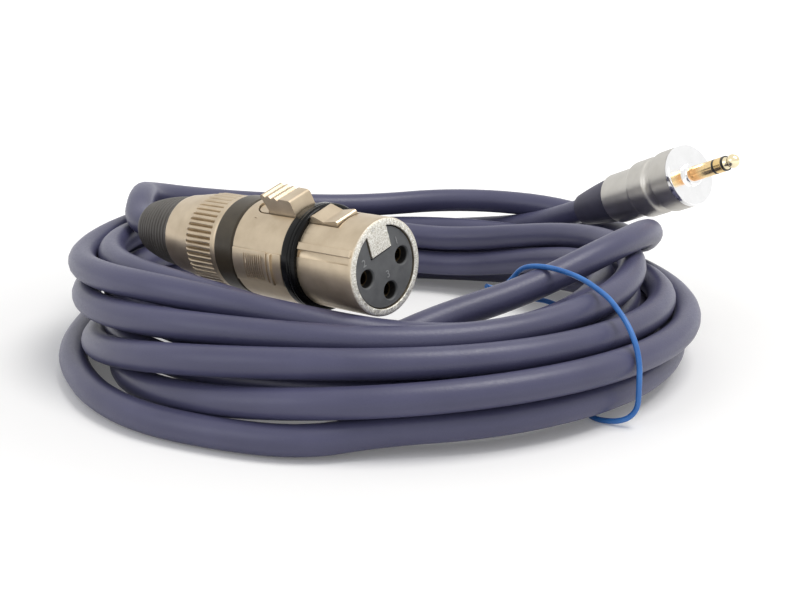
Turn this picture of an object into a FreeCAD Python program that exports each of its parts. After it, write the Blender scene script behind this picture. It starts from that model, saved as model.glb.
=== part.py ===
import FreeCAD, Part
import math
import os

V = FreeCAD.Vector
os.makedirs("parts", exist_ok=True)

# A coiled audio cable with a three-pole latching socket connector on one end and a
# 3.5 mm stereo plug on the other, held by a loose wire tie. Millimetres, +Z up. The floor
# is z = 0, X runs to the right and Y away from the viewer.

# Where the middle of the coil stands, from the origin at the middle of the whole outline
COIL_X = 1.178
COIL_Y = 1.107

# Cable and its coil
CABLE_D = 6.0
CABLE_GAP = 1.2           # air left between neighbouring turns, before they slope
FIRST_TURN = 0.25         # where the wound tube takes over from one lead
LAST_TURN = 6.75          # and where it hands over to the other
FIRST_TOE_IN = 1.0        # degrees that the tube's start points outwards
LAYERS = 4
LAYER_WIDTH = 1.75        # turns that one layer holds
FLAT = 0.5                # how deep the underside is pressed flat
# The bundle's section at the front, left, back and right of the ring
BUNDLE_R = (73.2, 61.3, 62.5, 63.5)       # radius of the section's lower corner
BUNDLE_LEAN = (59.0, 3.0, 68.0, 81.0)    # degrees that the stack leans inwards
BUNDLE_SETTLE = (0.03, 0.52, 0.07, 0.39)   # turns that the section settles by
BUNDLE_LIFT = (1.7, 0.0, 0.0, 2.0)        # how far it lies above the floor

# Three-pole connector. Distances run back from its face.
XLR_FACE = (1.0, -50.5, 29.6)             # centre of the face, from the coil's middle
XLR_AXIS = (0.742, -0.679, 0.036)         # out of the face
XLR_ROLL = 17.0                           # degrees that the latch leans to the left
NOSE_R = 9.5
NOSE_BORE_R = 8.05
NOSE_L = 14.5
RIM_BEVEL = 0.4
KEY_W = 5.4
KEY_R = 3.2
KEY_DEPTH = 6.0
RIB_W = 1.3
RIB_H = 0.45
RIB_ANGLE = 50.0
SHELL_L = 30.0
RING_L = 3.6
RING_R = 10.6
RING_GROOVE = 0.2
SLOT_FLOOR = 7.2          # height of the floor under the latch, from the axis
KEY_SLOT_FLOOR = 7.35
SLOT_START = 2.6
LEDGE_X = 5.4
LEDGE_W = 9.2
BODY_R = 10.1
BODY_L = 14.3
BODY_WALL = 1.1
BAND_L = 5.8
BAND_R = 10.0
BAND_STEP = 0.35
BAND_TONGUE = SHELL_L + 1.0               # where the band's tongue starts inside the body
PLATE_W = 9.0
PLATE_L = 7.6
PLATE_H = 0.35
PLATE_ANGLE = 80.0
PLATE_START = 23.6
STUD_R = 1.1
STUD_H = 0.6
INSERT_GAP = 0.15
INSERT_SINK = 0.35
INSERT_L = 15.6
INSERT_REAR_L = 3.0
CONTACT_CIRCLE_R = 5.0
CONTACT_R = 1.55
CONTACT_BORE_R = 1.25
CONTACT_BORE_L = 9.0
CONTACT_L = 22.0
CONTACT_SINK = 2.0
HOLE_R = 1.75
CUP_L = 4.5
CUP_BORE_R = 0.95
SCREW_R = 1.2
SCREW_HEAD_R = 1.9
SCREW_L = 4.2
SCREW_HEAD_L = 1.2

# Latch on the connector
LATCH_W = 5.6
LATCH_FIT = 0.3           # gap on each side of the lever in its slot
LATCH_PLATE_T = 1.0
LATCH_PLATE_X = 8.45      # underside of the front plate, from the axis
LATCH_NOSE_Z = 3.4        # front of the nose, back from the face
LATCH_NOSE_L = 2.0
LATCH_NOSE_H = 1.5
LATCH_PAD_TOP = 13.6
LATCH_PAD_FRONT = 18.7
LATCH_PAD_BACK = 30.2
LATCH_PIVOT_Z = 28.4
LATCH_PIVOT_X = 8.7
LATCH_PIN_R = 0.6
LATCH_PIN_FIT = 0.05
LATCH_RIDGES = 4
LATCH_RIDGE_PITCH = 1.9
LATCH_RIDGE_R = 0.62
SPRING_D = 2.2
SPRING_WIRE = 0.35
SPRING_TURNS = 3
SPRING_Z = 21.6
SPRING_SINK = 1.0
PIN_HALF = 4.4
LATCH_LUG_X = 7.6
LATCH_RIDGE_START = 22.4
CRESCENT_H = 0.5

# Clamp, nut and boot behind the connector
THREAD_R = 8.2
THREAD_L = 7.0
THREAD_FIT = 0.08
CHUCK_R = 7.3
CHUCK_L = 11.0
CHUCK_SLOTS = 4
CHUCK_SLOT_W = 1.0
NUT_L = 18.1
NUT_R = 9.6
NUT_RIM_L = 3.0
NUT_NECK_L = 4.6
NUT_NECK_R = 7.6
NUT_FLUTES = 30
NUT_FLUTE_R = 0.45
NUT_BACK_WALL = 1.4
BOOT_L = 13.1
BOOT_FRONT_R = 6.7
BOOT_BACK_R = 5.0
BOOT_FLANGE_R = 7.0
BOOT_NECK_R = 6.2
NUT_CHUCK_GAP = 0.4
CHUCK_START = 36.6
SEAM = 0.1                 # hairline between a screwed piece and its stop
BOOT_FLANGE_L = 2.0
BOOT_RINGS = 7
BOOT_RING_CUT = 0.3
BORE_FIT = 0.3            # air between the jacket and what slides along it

# Stereo plug. Distances run forward from the front of its barrel.
JACK_REAR = (57.4, 34.5, 25.6)            # middle of the barrel's back edge
JACK_AXIS = (0.575, -0.725, 0.378)        # towards the tip
BARREL_L = 24.5
BARREL_FRONT_R = 7.3
BARREL_FRONT_L = 7.0
BARREL_WAIST_R = 6.3
BARREL_WAIST_L = 2.5
BARREL_MID_R = 6.9
BARREL_MID_L = 5.5
BARREL_BACK_R = 6.1
BARREL_BORE_R = 5.3
BARREL_BACK_WALL = 1.2
COLLAR_R = 2.7
COLLAR_L = 1.0
PLUG_R = 1.75
PLUG_TAIL_R = 1.5         # the sleeve inside its collar
PLUG_SLEEVE_L = 6.6
PLUG_RING_L = 2.1
PLUG_BAND_L = 0.6
PLUG_TIP_L = 3.5
PLUG_TIP_WAIST_R = 1.15
PLUG_CORE_R = 0.6
PLUG_WALL = 0.5
JACK_BODY_R = 4.6
JACK_BODY_L = 5.0
JACK_EAR_L = 9.0
JACK_EAR_T = 0.6
JACK_EAR_W = 2.4
JACK_FLANGE_L = 1.2
JACK_JACKET_CUT = 12.0
JACK_SOLDER_Z = 9.0        # back end of the plug's inner rod
LINER_R = 4.3
LINER_WALL = 0.5
LINER_L = 13.0
JACK_BOOT_L = 12.0
JACK_BOOT_R = 5.5
JACK_BOOT_NECK_R = 4.5
JACK_BOOT_FLANGE_L = 1.5
JACK_BOOT_BACK_R = 3.9

# Cores inside the jacket
CORE_D = 1.5
DRAIN_D = 1.0
CORE_OFFSET = 0.85
DRAIN_OFFSET = 1.35
JACKET_BORE_R = 2.0
JACKET_CUT = 35.0         # where the jacket ends, back from the face
STUB = 1.0                # jacket showing behind each boot before the free stretch

# Wire tie
TIE_D = 1.1
TIE_TWIST_L = 7.0
TIE_TWIST_R = 0.5
TIE_TWIST_PITCH = 3.5
TIE_TWIST_START = (25.2, -26.2, 18.9)
TIE_TWIST_AXIS = (-0.93, 0.1, 0.15)

# Free stretches of cable, by hand, from the coil's middle. Ends are worked out.
XLR_LEAD_FIRST = 7.5      # straight runs at the ends of the two leads
XLR_LEAD_LAST = 8.5
JACK_LEAD_FIRST = 13.0
JACK_LEAD_LAST = 10.0
XLR_ROUTE = [
    (-55.5, 10.6, 30.8), (-49.1, 25.5, 33.2), (-38.0, 49.7, 30.2), (-14.4, 64.5, 19.4),
    (13.5, 77.6, 16.8), (40.8, 65.8, 21.9), (59.2, 46.7, 15.3), (63.2, 10.8, 18.4),
    (55.3, -16.4, 24.2), (38.9, -33.4, 25.5), (20.1, -40.0, 18.2), (3.9, -49.2, 15.9),
    (-24.0, -49.0, 15.5), (-49.0, -31.0, 20.5),
]
JACK_ROUTE = [
    (62.2, -32.9, 4.2), (47.1, -52.0, 5.4), (22.7, -79.0, 5.2), (-5.5, -79.2, 3.3),
    (-34.7, -81.5, 3.4), (-56.3, -61.3, 3.3), (-73.1, -33.1, 3.5), (-81.1, -5.0, 3.1),
    (-73.5, 31.4, 3.5), (-50.3, 60.0, 3.6), (-17.4, 72.5, 4.7), (13.0, 80.3, 8.9),
    (35.5, 68.0, 13.4),
]
TIE_ROUTE = [
    (25.7, -25.7, 20.2), (27.6, -27.6, 25.2), (31.5, -31.5, 28.2), (36.3, -36.3, 28.6),
    (41.6, -41.6, 24.6), (46.9, -46.9, 20.3), (52.4, -52.4, 16.0), (54.0, -54.0, 8.0),
    (51.1, -51.1, 0.8), (45.0, -45.0, 1.8), (39.5, -39.5, 5.2), (33.7, -33.7, 9.2),
    (29.5, -29.5, 13.0), (26.7, -26.7, 17.6),
]


def from_coil(point):
    return V(point[0] + COIL_X, point[1] + COIL_Y, point[2])


def unit(vector):
    v = V(vector)
    return v / v.Length


def frame_at(origin, axis, roll):
    """Placement whose Z is the axis and whose X is up, turned by the roll."""
    z = unit(axis)
    side = unit(V(0, 0, 1).cross(z))
    up = z.cross(side)
    a = math.radians(roll)
    x = up * math.cos(a) - side * math.sin(a)
    y = z.cross(x)
    return FreeCAD.Placement(FreeCAD.Matrix(
        x.x, y.x, z.x, origin.x,
        x.y, y.y, z.y, origin.y,
        x.z, y.z, z.z, origin.z,
        0, 0, 0, 1))


XLR = frame_at(from_coil(XLR_FACE), XLR_AXIS, XLR_ROLL)
JACK = frame_at(from_coil(JACK_REAR) + unit(JACK_AXIS) * BARREL_L, JACK_AXIS, 0.0)


def placed(shape, placement):
    copy = shape.copy()
    copy.Placement = placement.multiply(copy.Placement)
    return copy


def save(name, shape, placement=None):
    if placement is not None:
        shape = placed(shape, placement)
    shape.exportStep("parts/%s.step" % name)
    box = shape.BoundBox
    print("%-18s solids %d valid %s volume %.1f box %.1f %.1f %.1f to %.1f %.1f %.1f" % (
        name, len(shape.Solids), shape.isValid(), shape.Volume,
        box.XMin, box.YMin, box.ZMin, box.XMax, box.YMax, box.ZMax))
    BOX.add(box)


BOX = FreeCAD.BoundBox()


def turned(points):
    """Solid of revolution about Z from (radius, z) corners."""
    corners = [V(r, 0, z) for r, z in points]
    face = Part.Face(Part.makePolygon(corners + corners[:1]))
    return face.revolve(V(0, 0, 0), V(0, 0, 1), 360)


def rod(radius, z0, z1, x=0.0, y=0.0):
    low = min(z0, z1)
    return Part.makeCylinder(radius, abs(z1 - z0), V(x, y, low))


def block(x0, x1, y0, y1, z0, z1):
    return Part.makeBox(x1 - x0, y1 - y0, z1 - z0, V(x0, y0, z0))


def prism(points, half_width):
    """Outline of (x, z) corners pulled to both sides along Y."""
    corners = [V(x, -half_width, z) for x, z in points]
    face = Part.Face(Part.makePolygon(corners + corners[:1]))
    return face.extrude(V(0, 2 * half_width, 0))


def arc_to(start, corner, end):
    """Arc tangent to both legs of a corner whose legs are equally long."""
    middle = (start + end) * 0.5
    half = (end - start).Length / 2
    leg = (corner - start).Length
    depth = (corner - middle).Length
    radius = leg * half / depth
    rise = radius - math.sqrt(radius * radius - half * half)
    top = middle + (corner - middle) * (rise / depth)
    return Part.Arc(start, top, end).toShape(), radius


def rounded_path(points):
    """Straight runs joined by tangent arcs, and the radii of the arcs."""
    edges = []
    radii = []
    here = points[0]
    for before, corner, after in zip(points, points[1:], points[2:]):
        reach = 0.45 * min((corner - before).Length, (after - corner).Length)
        start = corner + unit(before - corner) * reach
        end = corner + unit(after - corner) * reach
        edges.append(Part.LineSegment(here, start).toShape())
        arc, radius = arc_to(start, corner, end)
        edges.append(arc)
        radii.append(radius)
        here = end
    edges.append(Part.LineSegment(here, points[-1]).toShape())
    return edges, radii


def biarc(start, heading, end, heading_end):
    """Two tangent arcs from one point and heading to another."""
    chord = end - start
    both = heading + heading_end
    bend = 2 * (1 - heading.dot(heading_end))
    along = chord.dot(both)
    leg = (math.sqrt(along * along + bend * chord.dot(chord)) - along) / bend
    first = start + heading * leg
    last = end - heading_end * leg
    joint = (first + last) * 0.5
    one, r1 = arc_to(start, first, joint)
    two, r2 = arc_to(joint, last, end)
    return [one, two], [r1, r2]


def sweep(edges, diameter):
    """Round tube along a wire, as one pipe shell."""
    wire = Part.Wire(edges)
    first = edges[0]
    start = first.valueAt(first.FirstParameter)
    heading = first.tangentAt(first.FirstParameter)
    ring = Part.Wire(Part.makeCircle(diameter / 2, start, heading))
    shell = Part.BRepOffsetAPI.MakePipeShell(wire)
    shell.add(ring)
    shell.build()
    shell.makeSolid()
    solid = shell.shape()
    ideal = math.pi * diameter ** 2 / 4 * wire.Length
    print("  tube length %.1f volume over ideal %.5f" % (wire.Length, solid.Volume / ideal))
    return solid


def round_ring(values, angle):
    """Smooth value at an angle of the ring from its front, left, back and right values."""
    front, left, back, right = values
    mean = (front + left + back + right) / 4
    return (mean + (right - left) / 2 * math.cos(angle) + (back - front) / 2 * math.sin(angle)
            + (left + right - front - back) / 4 * math.cos(2 * angle))


def ease(x):
    x = min(1.0, max(0.0, x))
    return x * x * (3 - 2 * x)


def coil_point(turn):
    """Centre line of the coil, from its top front to its bottom front, clockwise."""
    angle = -math.pi / 2 - 2 * math.pi * turn
    layer, along = divmod(turn, LAYER_WIDTH)
    across = along if int(layer) % 2 == 0 else LAYER_WIDTH - along
    height = LAYERS - 1.0
    for k in range(1, LAYERS):
        height -= ease((turn - k * LAYER_WIDTH + 0.25) / 0.5)
    pitch = CABLE_D + CABLE_GAP
    lean = math.radians(round_ring(BUNDLE_LEAN, angle))
    radius = round_ring(BUNDLE_R, angle) + pitch * (
        across * math.cos(lean) - height * math.sin(lean))
    settle = round_ring(BUNDLE_SETTLE, angle)
    z = CABLE_D / 2 - FLAT + round_ring(BUNDLE_LIFT, angle) + pitch * (
        height * math.cos(lean) + (across - settle) * math.sin(lean))
    return from_coil((radius * math.cos(angle), radius * math.sin(angle), z))


def coil_heading(turn):
    step = 0.002
    heading = unit(coil_point(turn + step) - coil_point(turn - step))
    if turn == FIRST_TURN:
        heading = FreeCAD.Rotation(V(0, 0, 1), FIRST_TOE_IN).multVec(heading)
    return heading


def coil_end(turn, sense):
    """Start or end of the coil's tube, past a straight stretch of one diameter."""
    return coil_point(turn) + coil_heading(turn) * (sense * CABLE_D)


def self_gap(edges, diameter, apart):
    """Least air between stretches of one tube that lie further apart along it."""
    wire = Part.Wire(edges)
    count = int(wire.Length / 2.5)
    pts = wire.discretize(Number=count)
    step = wire.Length / (count - 1)
    skip = int(apart / step)
    least = 1e9
    for i in range(0, len(pts) - skip):
        for j in range(i + skip, len(pts)):
            gap = (pts[i] - pts[j]).Length
            if gap < least:
                least = gap
    return least - diameter


def cable_coil():
    edges = [Part.LineSegment(coil_end(FIRST_TURN, -1), coil_point(FIRST_TURN)).toShape()]
    radii = []
    for quarter in range(int((LAST_TURN - FIRST_TURN) * 4)):
        a = FIRST_TURN + quarter / 4
        b = a + 0.25
        arcs, r = biarc(coil_point(a), coil_heading(a), coil_point(b), coil_heading(b))
        edges += arcs
        radii += r
    edges.append(Part.LineSegment(coil_point(LAST_TURN), coil_end(LAST_TURN, 1)).toShape())
    tube = sweep(edges, CABLE_D)
    print("  coil radii %.1f to %.1f" % (min(radii), max(radii)))
    print("  coil least gap to itself %.2f" % self_gap(edges, CABLE_D, 60.0))
    under = Part.makeBox(400, 400, 20, V(-200, -200, -20))
    return tube.cut(under), edges


def free_tube(points, diameter, label):
    edges, radii = rounded_path(points)
    print("  %s radii %s" % (label, " ".join("%.1f" % r for r in radii)))
    return sweep(edges, diameter), edges


def xlr_point(back):
    return XLR.multVec(V(0, 0, -back))


def jack_point(forward):
    return JACK.multVec(V(0, 0, forward))


XLR_LENGTH = NOSE_L + RING_L + BODY_L + BAND_L + NUT_L + BOOT_L
BOOT_END = XLR_LENGTH
JACK_BOOT_END = BARREL_L + JACK_BOOT_L


def xlr_lead_points():
    exit_point = xlr_point(BOOT_END + STUB)
    away = unit(XLR_AXIS) * -1
    last = coil_end(FIRST_TURN, -1)
    before = last - coil_heading(FIRST_TURN) * XLR_LEAD_LAST
    route = [from_coil(p) for p in XLR_ROUTE]
    return [exit_point, exit_point + away * XLR_LEAD_FIRST] + route + [before, last]


def jack_lead_points():
    exit_point = jack_point(-(JACK_BOOT_END + STUB))
    away = unit(JACK_AXIS) * -1
    start = coil_end(LAST_TURN, 1)
    after = start + coil_heading(LAST_TURN) * JACK_LEAD_FIRST
    route = [from_coil(p) for p in JACK_ROUTE]
    return [start, after] + route + [exit_point + away * JACK_LEAD_LAST, exit_point]


def tie_points():
    return [from_coil(p) for p in TIE_ROUTE]


coil_solid, coil_edges = cable_coil()
save("cable_coil", coil_solid)
xlr_lead_solid, xlr_lead_edges = free_tube(xlr_lead_points(), CABLE_D, "xlr lead")
save("xlr_lead", xlr_lead_solid)
jack_lead_solid, jack_lead_edges = free_tube(jack_lead_points(), CABLE_D, "jack lead")
save("jack_lead", jack_lead_solid)
tie_solid, tie_edges = free_tube(tie_points(), TIE_D, "tie")
save("tie_wire", tie_solid)


def tie_twist():
    """The tie's two ends twisted round each other, as a tail to the left."""
    def strand(turn):
        helix = Part.makeHelix(TIE_TWIST_PITCH, TIE_TWIST_L, TIE_TWIST_R)
        start = helix.Edges[0].valueAt(helix.Edges[0].FirstParameter)
        heading = helix.Edges[0].tangentAt(helix.Edges[0].FirstParameter)
        ring = Part.Wire(Part.makeCircle(TIE_D / 2, start, heading))
        tube = Part.Wire(helix.Edges).makePipeShell([ring], True, True)
        tube.rotate(V(0, 0, 0), V(0, 0, 1), turn)
        return tube
    both = strand(0).fuse(strand(180))
    return both


save("tie_twist", tie_twist(), frame_at(from_coil(TIE_TWIST_START), TIE_TWIST_AXIS, 0.0))


def around(shape, angle):
    copy = shape.copy()
    copy.rotate(V(0, 0, 0), V(0, 0, 1), angle)
    return copy


def across(radius, x, z, half_width):
    """Rod along Y."""
    return Part.makeCylinder(radius, 2 * half_width, V(x, -half_width, z), V(0, 1, 0))


def latch_room(half_width, start, x0, x1):
    """Slot that ends in a half circle behind the latch, from the height x0 to x1."""
    centre = LATCH_PAD_BACK - LATCH_W / 2
    room = block(x0, x1, -half_width, half_width, -centre, -start)
    end = Part.makeCylinder(half_width, x1 - x0, V(x0, 0, -centre), V(1, 0, 0))
    return room.fuse(end).removeSplitter()


LATCH_HALF = LATCH_W / 2
SLOT_HALF = LATCH_W / 2 + LATCH_FIT
RING_START = NOSE_L
BODY_START = NOSE_L + RING_L
BAND_START = BODY_START + BODY_L
NUT_START = BAND_START + BAND_L
BOOT_START = NUT_START + NUT_L
TAIL_R = BODY_R - BODY_WALL
INSERT_REAR_Z = INSERT_SINK + INSERT_L
THREAD_BORE_R = THREAD_R + THREAD_FIT
NUT_BORE_R = CHUCK_R + NUT_CHUCK_GAP


def pin_hole(radius):
    return across(radius, LATCH_PIVOT_X, -LATCH_PIVOT_Z, PIN_HALF)


def front_shell():
    tube = turned([
        (NOSE_BORE_R, 0), (NOSE_R - RIM_BEVEL, 0), (NOSE_R, -RIM_BEVEL), (NOSE_R, -NOSE_L),
        (TAIL_R, -NOSE_L), (TAIL_R, -SHELL_L), (NOSE_BORE_R, -SHELL_L)])
    key = block(KEY_R, NOSE_R, -KEY_W / 2, KEY_W / 2, -KEY_DEPTH, 0)
    key = key.common(rod(NOSE_BORE_R + 0.2, 0, -KEY_DEPTH))
    rib = block(NOSE_R - 0.3, NOSE_R + RIB_H, -RIB_W / 2, RIB_W / 2, -NOSE_L, -RIM_BEVEL)
    ledge = block(LEDGE_X, SLOT_FLOOR, -LEDGE_W / 2, LEDGE_W / 2, -SHELL_L,
                  -(INSERT_REAR_Z + INSERT_REAR_L + 0.25))
    shell = tube.fuse([key, around(rib, RIB_ANGLE), ledge.common(rod(TAIL_R, 0, -SHELL_L))])
    over_key = block(KEY_SLOT_FLOOR, NOSE_R + 1, -SLOT_HALF, SLOT_HALF, -KEY_DEPTH, -SLOT_START)
    behind = block(SLOT_FLOOR, NOSE_R + 1, -SLOT_HALF, SLOT_HALF, -SHELL_L - 1, -KEY_DEPTH)
    pocket = Part.makeCylinder(SPRING_D / 2 + 0.25, SPRING_SINK + 1,
                               V(SLOT_FLOOR - SPRING_SINK, 0, -SPRING_Z), V(1, 0, 0))
    return shell.cut([over_key, behind, pocket, pin_hole(LATCH_PIN_R)])


def contact_spots():
    return [(0, CONTACT_CIRCLE_R), (0, -CONTACT_CIRCLE_R), (-CONTACT_CIRCLE_R, 0)]


def insert():
    body = rod(NOSE_BORE_R - INSERT_GAP, -INSERT_SINK, -INSERT_REAR_Z)
    cuts = [rod(SCREW_R, -INSERT_REAR_Z - 1, -(INSERT_REAR_Z + INSERT_REAR_L - SCREW_L))]
    for x, y in contact_spots():
        cuts.append(rod(HOLE_R, 1, -CONTACT_SINK, x, y))
        cuts.append(rod(CONTACT_R, 0, -INSERT_REAR_Z - 1, x, y))
    half = KEY_W / 2 + INSERT_GAP
    cuts.append(block(KEY_R - INSERT_GAP, NOSE_R, -half, half, -KEY_DEPTH - INSERT_GAP, 1))
    cuts.append(block(SLOT_FLOOR, NOSE_R, -SLOT_HALF, SLOT_HALF, -INSERT_REAR_Z - 1, -SLOT_START))
    return body.cut(cuts)


def insert_rear():
    back = INSERT_REAR_Z + INSERT_REAR_L
    body = rod(NOSE_BORE_R, -INSERT_REAR_Z, -back)
    cuts = [rod(SCREW_R, -INSERT_REAR_Z + 1, -back - 1)]
    for x, y in contact_spots():
        cuts.append(rod(CONTACT_R, -INSERT_REAR_Z + 1, -back - 1, x, y))
    cuts.append(block(SLOT_FLOOR, NOSE_R, -SLOT_HALF, SLOT_HALF, -back - 1, -INSERT_REAR_Z + 1))
    return body.cut(cuts)


def insert_screw():
    seat = INSERT_REAR_Z + INSERT_REAR_L
    shape = rod(SCREW_R, -seat, -(seat - SCREW_L)).fuse(rod(SCREW_HEAD_R, -seat, -seat - SCREW_HEAD_L))
    slot = block(-SCREW_HEAD_R, SCREW_HEAD_R, -0.25, 0.25, -seat - SCREW_HEAD_L - 1,
                 -seat - SCREW_HEAD_L + 0.5)
    return shape.cut(slot)


def contact(x, y):
    back = CONTACT_SINK + CONTACT_L
    shape = turned([
        (CONTACT_BORE_R, -CONTACT_SINK), (CONTACT_R, -CONTACT_SINK), (CONTACT_R, -back),
        (CUP_BORE_R, -back), (CUP_BORE_R, -back + CUP_L), (0, -back + CUP_L),
        (0, -CONTACT_SINK - CONTACT_BORE_L), (CONTACT_BORE_R, -CONTACT_SINK - CONTACT_BORE_L)])
    shape.translate(V(x, y, 0))
    return shape


def seal_ring():
    cuts = []
    for z in (-NOSE_L - 0.7, -NOSE_L - 1.5):
        groove = rod(RING_R + 1, z - RING_GROOVE / 2, z + RING_GROOVE / 2)
        cuts.append(groove.cut(rod(RING_R - RING_GROOVE, z - 1, z + 1)))
    ring = turned([
        (TAIL_R, -RING_START), (RING_R - 0.4, -RING_START), (RING_R, -RING_START - 0.4),
        (RING_R, -BODY_START + 0.3), (RING_R - 0.3, -BODY_START), (TAIL_R, -BODY_START)])
    cuts.append(block(SLOT_FLOOR, LATCH_PLATE_X + LATCH_PLATE_T + LATCH_FIT, -SLOT_HALF,
                      SLOT_HALF, -BODY_START - 1, -RING_START + 1))
    return ring.cut(cuts)


def rear_body():
    tube = rod(BODY_R, -BODY_START, -BAND_START)
    skin = rod(BODY_R + PLATE_H, -BODY_START, -BAND_START)
    plate = block(BODY_R - 1, BODY_R + 1, -PLATE_W / 2, PLATE_W / 2,
                  -PLATE_START - PLATE_L, -PLATE_START)
    plate = around(plate, PLATE_ANGLE).common(skin)
    stud = Part.makeCylinder(STUD_R, STUD_H + 1, V(BODY_R - 1, 0, -PLATE_START + 2.2), V(1, 0, 0))
    centre = LATCH_PAD_BACK - LATCH_HALF
    crescent = Part.makeCylinder(SLOT_HALF + 1.0, BODY_R, V(0, 0, -centre), V(1, 0, 0))
    crescent = crescent.common(block(LEDGE_X, BODY_R, -BODY_R, BODY_R, -BAND_START, -centre))
    crescent = crescent.common(rod(BODY_R + CRESCENT_H, 0, -BAND_START))
    outside = tube.fuse([plate, around(stud, PLATE_ANGLE), crescent])
    inside = rod(TAIL_R, -BODY_START + 1, -BAND_START - 1)
    return outside.cut([inside, latch_room(SLOT_HALF, BODY_START - 1, SLOT_FLOOR, BODY_R + 2),
                        pin_hole(LATCH_PIN_R)])


def rear_band():
    return turned([
        (THREAD_BORE_R, -BAND_TONGUE), (TAIL_R, -BAND_TONGUE), (TAIL_R, -BAND_START),
        (BAND_R - BAND_STEP, -BAND_START), (BAND_R - BAND_STEP, -BAND_START - 0.6),
        (BAND_R, -BAND_START - 0.6), (BAND_R, -NUT_START), (THREAD_BORE_R, -NUT_START)])


def latch_lever():
    top = LATCH_PLATE_X + LATCH_PLATE_T
    nose = LATCH_NOSE_Z
    side = prism([
        (LATCH_PLATE_X, -nose), (top + 0.3, -nose), (top + LATCH_NOSE_H, -nose - 0.6),
        (top + LATCH_NOSE_H, -nose - LATCH_NOSE_L + 0.4), (top, -nose - LATCH_NOSE_L - 0.5),
        (top, -LATCH_PAD_FRONT), (LATCH_PAD_TOP - 1.6, -LATCH_PAD_FRONT - 0.5),
        (LATCH_PAD_TOP - 0.6, -LATCH_PAD_FRONT - 1.2), (LATCH_PAD_TOP, -LATCH_PAD_FRONT - 2.6),
        (LATCH_PAD_TOP, -LATCH_PAD_BACK + 0.8), (LATCH_PAD_TOP - 0.8, -LATCH_PAD_BACK),
        (LATCH_PLATE_X, -LATCH_PAD_BACK), (LATCH_LUG_X, -LATCH_PIVOT_Z - 1.2),
        (LATCH_LUG_X, -LATCH_PIVOT_Z + 1.2), (LATCH_PLATE_X, -LATCH_PIVOT_Z + 2.4)], LATCH_HALF)
    ridges = []
    for k in range(LATCH_RIDGES):
        z = -(LATCH_RIDGE_START + k * LATCH_RIDGE_PITCH)
        ridges.append(across(LATCH_RIDGE_R, LATCH_PAD_TOP - 0.2, z, LATCH_HALF))
    outline = latch_room(LATCH_HALF, 0, 0, LATCH_PAD_TOP + 2)
    return side.fuse(ridges).common(outline).cut(pin_hole(LATCH_PIN_R + LATCH_PIN_FIT))


def latch_spring():
    height = LATCH_PLATE_X - SLOT_FLOOR + SPRING_SINK - SPRING_WIRE
    radius = (SPRING_D - SPRING_WIRE) / 2
    helix = Part.makeHelix(height / SPRING_TURNS, height, radius)
    first = helix.Edges[0]
    start = first.valueAt(first.FirstParameter)
    ring = Part.Wire(Part.makeCircle(SPRING_WIRE / 2, start, first.tangentAt(first.FirstParameter)))
    coil = Part.Wire(helix.Edges).makePipeShell([ring], True, True)
    coil.rotate(V(0, 0, 0), V(0, 1, 0), 90)
    coil.translate(V(SLOT_FLOOR - SPRING_SINK + SPRING_WIRE / 2, 0, -SPRING_Z))
    return coil


def knurled_nut():
    front = NUT_START + SEAM
    neck = BOOT_START - NUT_NECK_L
    wall = BOOT_START - NUT_BACK_WALL
    body = turned([
        (NUT_BORE_R, -front + THREAD_L), (THREAD_R, -front + THREAD_L), (THREAD_R, -front),
        (NUT_R - 0.8, -front), (NUT_R, -front - 0.9), (NUT_R, -neck + 0.5),
        (NUT_R - 0.5, -neck), (NUT_NECK_R, -neck), (NUT_NECK_R, -BOOT_START + 0.4),
        (NUT_NECK_R - 0.4, -BOOT_START), (BOOT_NECK_R + THREAD_FIT, -BOOT_START),
        (BOOT_NECK_R + THREAD_FIT, -wall), (BOOT_FLANGE_R + THREAD_FIT, -wall),
        (BOOT_FLANGE_R + THREAD_FIT, -neck), (NUT_BORE_R, -neck + 1.0)])
    flutes = []
    for k in range(NUT_FLUTES):
        flute = rod(NUT_FLUTE_R, -front - NUT_RIM_L, -neck - 1, NUT_R + 0.1, 0)
        flutes.append(around(flute, 360.0 * k / NUT_FLUTES))
    return body.cut(flutes)


def ringed(front_r, back_r, front, back, rings):
    """Corners of a cone with fine rings, from its front down to its back."""
    step = (back - front) / rings
    corners = []
    for k in range(rings):
        z = front + k * step
        r = front_r + (back_r - front_r) * k / rings
        corners += [(r, -z), (r - (front_r - back_r) / rings, -(z + step * 0.75)),
                    (r - BOOT_RING_CUT - (front_r - back_r) / rings, -(z + step * 0.78)),
                    (r - BOOT_RING_CUT - (front_r - back_r) / rings, -(z + step))]
    return corners


def boot():
    wall = BOOT_START - NUT_BACK_WALL
    bore = CABLE_D / 2 + BORE_FIT
    return turned([
        (bore, -wall + BOOT_FLANGE_L), (BOOT_FLANGE_R, -wall + BOOT_FLANGE_L),
        (BOOT_FLANGE_R, -wall + 0.05), (BOOT_NECK_R, -wall + 0.05),
        (BOOT_NECK_R, -BOOT_START - 0.05)]
        + ringed(BOOT_FRONT_R, BOOT_BACK_R, BOOT_START + 0.05, BOOT_END, BOOT_RINGS)
        + [(bore, -BOOT_END)])


def cable_chuck():
    ring = turned([
        (CABLE_D / 2, -CHUCK_START), (CHUCK_R, -CHUCK_START),
        (CHUCK_R, -CHUCK_START - CHUCK_L + 2), (CHUCK_R - 1.5, -CHUCK_START - CHUCK_L),
        (CABLE_D / 2, -CHUCK_START - CHUCK_L)])
    slots = []
    for k in range(CHUCK_SLOTS):
        slot = block(CABLE_D / 2 - 0.5, CHUCK_R + 1, -CHUCK_SLOT_W / 2, CHUCK_SLOT_W / 2,
                     -CHUCK_START - CHUCK_L - 1, -CHUCK_START - 3)
        slots.append(around(slot, 360.0 * k / CHUCK_SLOTS + 45))
    return ring.cut(slots)


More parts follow.
